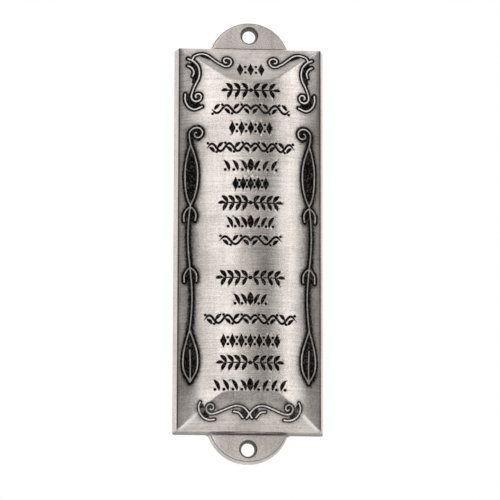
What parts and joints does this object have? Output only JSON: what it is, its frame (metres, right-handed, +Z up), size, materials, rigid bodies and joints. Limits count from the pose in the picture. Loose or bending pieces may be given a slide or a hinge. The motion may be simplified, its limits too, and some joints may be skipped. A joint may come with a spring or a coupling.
{
  "type": "mezuzah case",
  "caption": "Hollow cast pewter doorpost case with a hipped, barrelled front, a screw ear at each end, a back cover and a rolled parchment scroll inside.",
  "frame": {"origin": "centre of the back face, which lies against the doorpost", "axes": "+Z up along the case's length as it hangs, +Y into the wall, so the decorated front faces -Y, and +X to the viewer's right"},
  "size_m": [0.0382, 0.0092, 0.1142],
  "materials": {
    "antique_pewter": "cast pewter, brushed, with black patina in the recesses",
    "cover_sheet": "satin sheet metal",
    "screw_steel": "plated, slotted",
    "parchment": "matt parchment",
    "clear_film": "clear film"
  },
  "bodies": {
    "case": {"case_front": "antique_pewter"},
    "cover": {"back_cover": "cover_sheet"},
    "upper_screw": {"upper_cover_screw": "screw_steel"},
    "lower_screw": {"lower_cover_screw": "screw_steel"},
    "scroll": {"scroll": "parchment", "scroll_sleeve": "clear_film"}
  },
  "joints": [
    {"name": "cover_lift", "type": "slide", "parent": "case", "child": "cover", "axis": [0, 1, 0], "range_m": [0, 0.045]},
    {"name": "scroll_lift", "type": "slide", "parent": "case", "child": "scroll", "axis": [0, 1, 0], "range_m": [0, 0.0225]},
    {"name": "upper_screw_out", "type": "slide", "parent": "cover", "child": "upper_screw", "axis": [0, 1, 0], "range_m": [0, 0.008]},
    {"name": "lower_screw_out", "type": "slide", "parent": "cover", "child": "lower_screw", "axis": [0, 1, 0], "range_m": [0, 0.008]}
  ],
  "couplings": [
    {"joint": "scroll_lift", "follows": "cover_lift", "ratio": 0.5}
  ]
}
